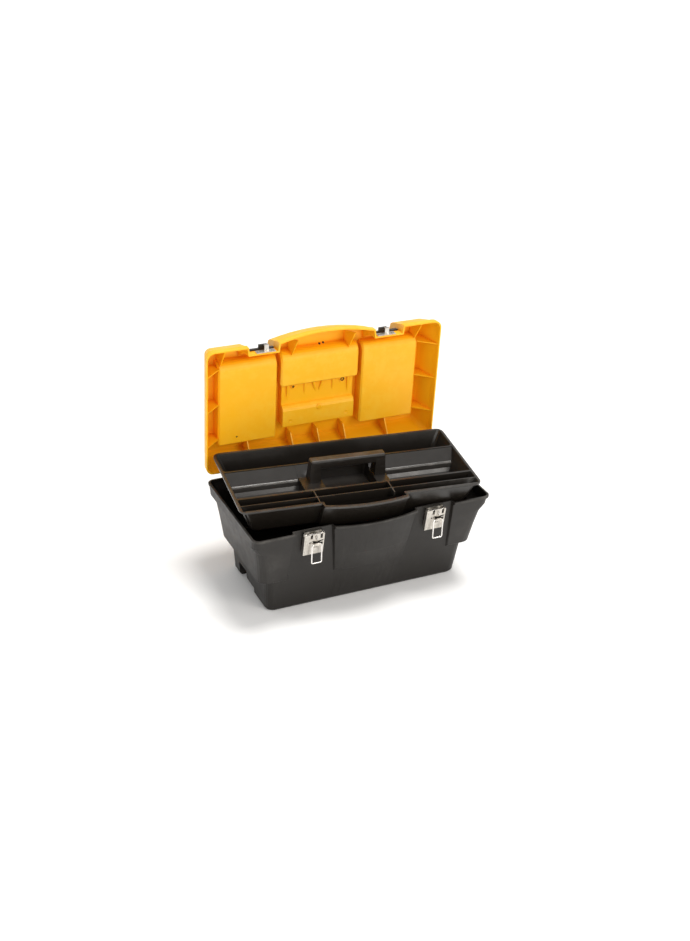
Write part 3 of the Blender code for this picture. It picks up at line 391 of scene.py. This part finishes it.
def latch_matrix(side):
    """The latch's own frame at its lever pivot: X along the box, -Y out, Z up the plate."""
    x, y, z = (value / MM for value in JOINTS["lever_%s_pivot" % side]["pos_m"])
    return Matrix.Translation((x, y, z)) @ Matrix.Rotation(math.radians(PAD_TILT), 4, "X")


def tube(name, points, radius, material, body):
    """Round wire along points in millimetres."""
    curve = bpy.data.curves.new(name, "CURVE")
    curve.dimensions = "3D"
    curve.bevel_depth = radius * MM
    curve.bevel_resolution = 6
    curve.use_fill_caps = True
    spline = curve.splines.new("POLY")
    spline.points.add(len(points) - 1)
    for point, place in zip(spline.points, points):
        point.co = (*(value * MM for value in place), 1.0)
    spline.use_smooth = True
    obj = bpy.data.objects.new(name, curve)
    bpy.context.scene.collection.objects.link(obj)
    curve.materials.append(material)
    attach(obj, body)
    return obj


def bail(side):
    """The sprung wire bail hanging from the lever's loop, round where the CAD's is faceted."""
    x, y, z = (value / MM for value in JOINTS["bail_%s_swing" % side]["pos_m"])
    inner, low = BAIL_HALF - BAIL_BEND, BAIL_LOW + BAIL_BEND
    path = [(-1.2, 0.0), (-inner, 0.0)]

    def corner(cx, cz, start):
        for k in range(1, 9):
            a = math.radians(start + 90.0 * k / 8)
            path.append((cx + BAIL_BEND * math.cos(a), cz + BAIL_BEND * math.sin(a)))

    corner(-inner, -BAIL_BEND, 90)
    corner(-inner, low, 180)
    corner(inner, low, 270)
    corner(inner, -BAIL_BEND, 0)
    path.append((1.2, 0.0))
    points = [(x + a, y, z + b) for a, b in path]
    wire = tube("bail_wire_" + side, points, BAIL_WIRE, WIRE, "bail_" + side)
    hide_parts("latch_bail_" + side)


def latch_details(side):
    """Three pressed ridges on the lever plate."""
    place = latch_matrix(side)
    body = "lever_" + side
    ridges = ((-17.4, -16.2, -21.5, 19.0), (-12.0, 12.0, -22.0, -20.6), (-13.4, -12.4, -17.0, 3.0))
    for k, (x0, x1, z0, z1) in enumerate(ridges):
        bm = bmesh.new()
        low, high = z0 + LEVER_MIDDLE, z1 + LEVER_MIDDLE
        ring = [(x0, low), (x1, low), (x1, high), (x0, high)]
        mid_x, mid_z = (x0 + x1) / 2, (z0 + z1) / 2 + LEVER_MIDDLE
        top = [(mid_x + (a - mid_x) * 0.55, mid_z + (b - mid_z) * 0.96) for a, b in ring]
        loft(bm, [[(a, LEVER_FACE + 0.2, b) for a, b in ring],
                  [(a, LEVER_FACE - 0.55, b) for a, b in top]])
        make_piece("lever_ridge_%s_%d" % (side, k + 1), bm, STEEL, body, place, 0.25, 2)


def latch_opening_shade(side):
    """Thin dark inlays on the lever's face: painted shade standing in for the pressed opening above
    the loop and the small round hole beside it.
    """
    place = latch_matrix(side)
    outline = ((-3.4, 6.6), (-1.6, 6.9), (1.4, 5.4), (5.6, 4.4), (9.6, 5.6), (14.0, 6.6), (18.2, 6.4),
               (18.4, 4.2), (14.6, 3.9), (11.2, 2.6), (9.9, 1.2), (9.9, -2.0), (-1.5, -2.0),
               (-1.5, 2.2), (-2.6, 4.0))
    bm = bmesh.new()
    # Painted shade: a near-black inlay lying on the face in place of a cut opening.
    loft(bm, [[(x, LEVER_FACE + out, z + LEVER_MIDDLE) for x, z in outline] for out in (0.3, -0.12)])
    make_piece("lever_opening_shade_" + side, bm, SHADE, "lever_" + side, place, 0.0, smooth=False)
    bm = bmesh.new()
    rings = []
    for out, radius in ((0.3, 1.5), (-0.12, 1.5), (-0.14, 0.7)):
        ring = circle(-8.4, 3.4 + LEVER_MIDDLE, radius, 20)
        rings.append([(x, LEVER_FACE + out, z) for x, z in ring])
    loft(bm, rings)
    make_piece("lever_hole_" + side, bm, SHADE, "lever_" + side, place, 0.0, smooth=False)


def make_details():
    lid_recess()
    lid_marks()
    tray_details()
    for side in ("left", "right"):
        bail(side)
        latch_details(side)
        latch_opening_shade(side)


# ---- Floor, light and camera ----------------------------------------------------------------
FLOOR_SIZE = 300.0                    # half the floor's side, in metres, so that its edge never shows
WORLD_LOW, WORLD_HIGH = 0.52, 0.72    # strength of the surround at the horizon and overhead
WARM_WHITE = (1.0, 0.955, 0.90)
SUN_POWER = 2.1
SUN_SPREAD = 20.0                     # degrees
SUN_COLOUR = (1.0, 0.985, 0.96)
SUN_DIRECTION = (-0.20, -0.07, -1.0)
CAMERA_AZIMUTH = -25.8
CAMERA_ELEVATION = 28.0
CAMERA_ROLL = 2.3
CAMERA_DISTANCE = 2.5924
CAMERA_TARGET = (-0.0090, 0.0, 0.2241)
CAMERA_LENS = 52.01


def make_floor():
    """The plain pale floor."""
    bm = bmesh.new()
    bmesh.ops.create_grid(bm, x_segments=2, y_segments=2, size=FLOOR_SIZE)
    mesh = bpy.data.meshes.new("floor")
    bm.to_mesh(mesh)
    bm.free()
    obj = bpy.data.objects.new("floor", mesh)
    bpy.context.scene.collection.objects.link(obj)
    n = Nodes("studio_floor")
    speck = n.ramp(n.noise(3.0, 4.0), 0.3, 0.7)
    n.link(n.mix(speck, (0.90, 0.90, 0.90), (0.93, 0.93, 0.93)), n.bsdf.inputs["Base Color"])
    n.bsdf.inputs["Roughness"].default_value = 0.85
    n.bsdf.inputs["Specular IOR Level"].default_value = 0.1
    mesh.materials.append(n.mat)


def area_light(name, place, aim, size, power, colour):
    """A rectangular soft light at a place, turned to its aim."""
    data = bpy.data.lights.new(name, "AREA")
    data.shape = "RECTANGLE"
    data.size, data.size_y = size
    data.energy = power
    data.color = colour
    obj = bpy.data.objects.new(name, data)
    bpy.context.scene.collection.objects.link(obj)
    obj.location = place
    direction = Vector(aim) - Vector(place)
    obj.rotation_euler = direction.to_track_quat("-Z", "Y").to_euler()


def make_lights():
    """An even surround, one soft sun from above, and two soft lights in front."""
    world = bpy.data.worlds.new("studio")
    world.use_nodes = True
    tree = world.node_tree
    background = tree.nodes["Background"]
    coord = tree.nodes.new("ShaderNodeTexCoord")
    split = tree.nodes.new("ShaderNodeSeparateXYZ")
    tree.links.new(coord.outputs["Generated"], split.inputs[0])
    height = tree.nodes.new("ShaderNodeMapRange")
    height.inputs["From Min"].default_value = -0.05
    height.inputs["From Max"].default_value = 0.75
    height.inputs["To Min"].default_value = WORLD_LOW
    height.inputs["To Max"].default_value = WORLD_HIGH
    tree.links.new(split.outputs["Z"], height.inputs["Value"])
    # Seen directly, the surround is as pale as the floor.
    ray = tree.nodes.new("ShaderNodeLightPath")
    backdrop = tree.nodes.new("ShaderNodeMath")
    backdrop.operation = "MAXIMUM"
    tree.links.new(height.outputs["Result"], backdrop.inputs[0])
    tree.links.new(ray.outputs["Is Camera Ray"], backdrop.inputs[1])
    tree.links.new(backdrop.outputs[0], background.inputs["Strength"])
    background.inputs["Color"].default_value = (1.0, 0.995, 0.985, 1.0)
    bpy.context.scene.world = world
    sun = bpy.data.lights.new("key", "SUN")
    sun.energy = SUN_POWER
    sun.angle = math.radians(SUN_SPREAD)
    sun.color = SUN_COLOUR
    key = bpy.data.objects.new("key", sun)
    bpy.context.scene.collection.objects.link(key)
    key.rotation_euler = Vector(SUN_DIRECTION).to_track_quat("-Z", "Y").to_euler()
    area_light("front_fill", (-0.3, -3.0, 1.1), (0, 0, 0.36), (2.4, 0.9), 20.5, WARM_WHITE)
    area_light("side_softbox", (1.15, -2.35, 1.85), (0, 0, 0.25), (1.3, 0.5), 26.0, WARM_WHITE)


def make_camera():
    """The camera, on a sphere round its target, looking at it."""
    azimuth, elevation = math.radians(CAMERA_AZIMUTH), math.radians(CAMERA_ELEVATION)
    roll = math.radians(CAMERA_ROLL)
    out = Vector((math.sin(azimuth) * math.cos(elevation), -math.cos(azimuth) * math.cos(elevation),
                  math.sin(elevation)))
    right = Vector((0, 0, 1)).cross(out).normalized()
    up = out.cross(right)
    turned_right = right * math.cos(roll) + up * math.sin(roll)
    turned_up = up * math.cos(roll) - right * math.sin(roll)
    data = bpy.data.cameras.new("camera")
    data.sensor_width = 36.0
    data.lens = CAMERA_LENS
    data.clip_end = 100.0
    obj = bpy.data.objects.new("camera", data)
    bpy.context.scene.collection.objects.link(obj)
    turn = Matrix((turned_right, turned_up, out)).transposed().to_4x4()
    obj.matrix_world = Matrix.Translation(Vector(CAMERA_TARGET) + out * CAMERA_DISTANCE) @ turn
    bpy.context.scene.camera = obj


make_details()
make_floor()
make_lights()
make_camera()
bpy.context.scene.view_settings.view_transform = "Standard"
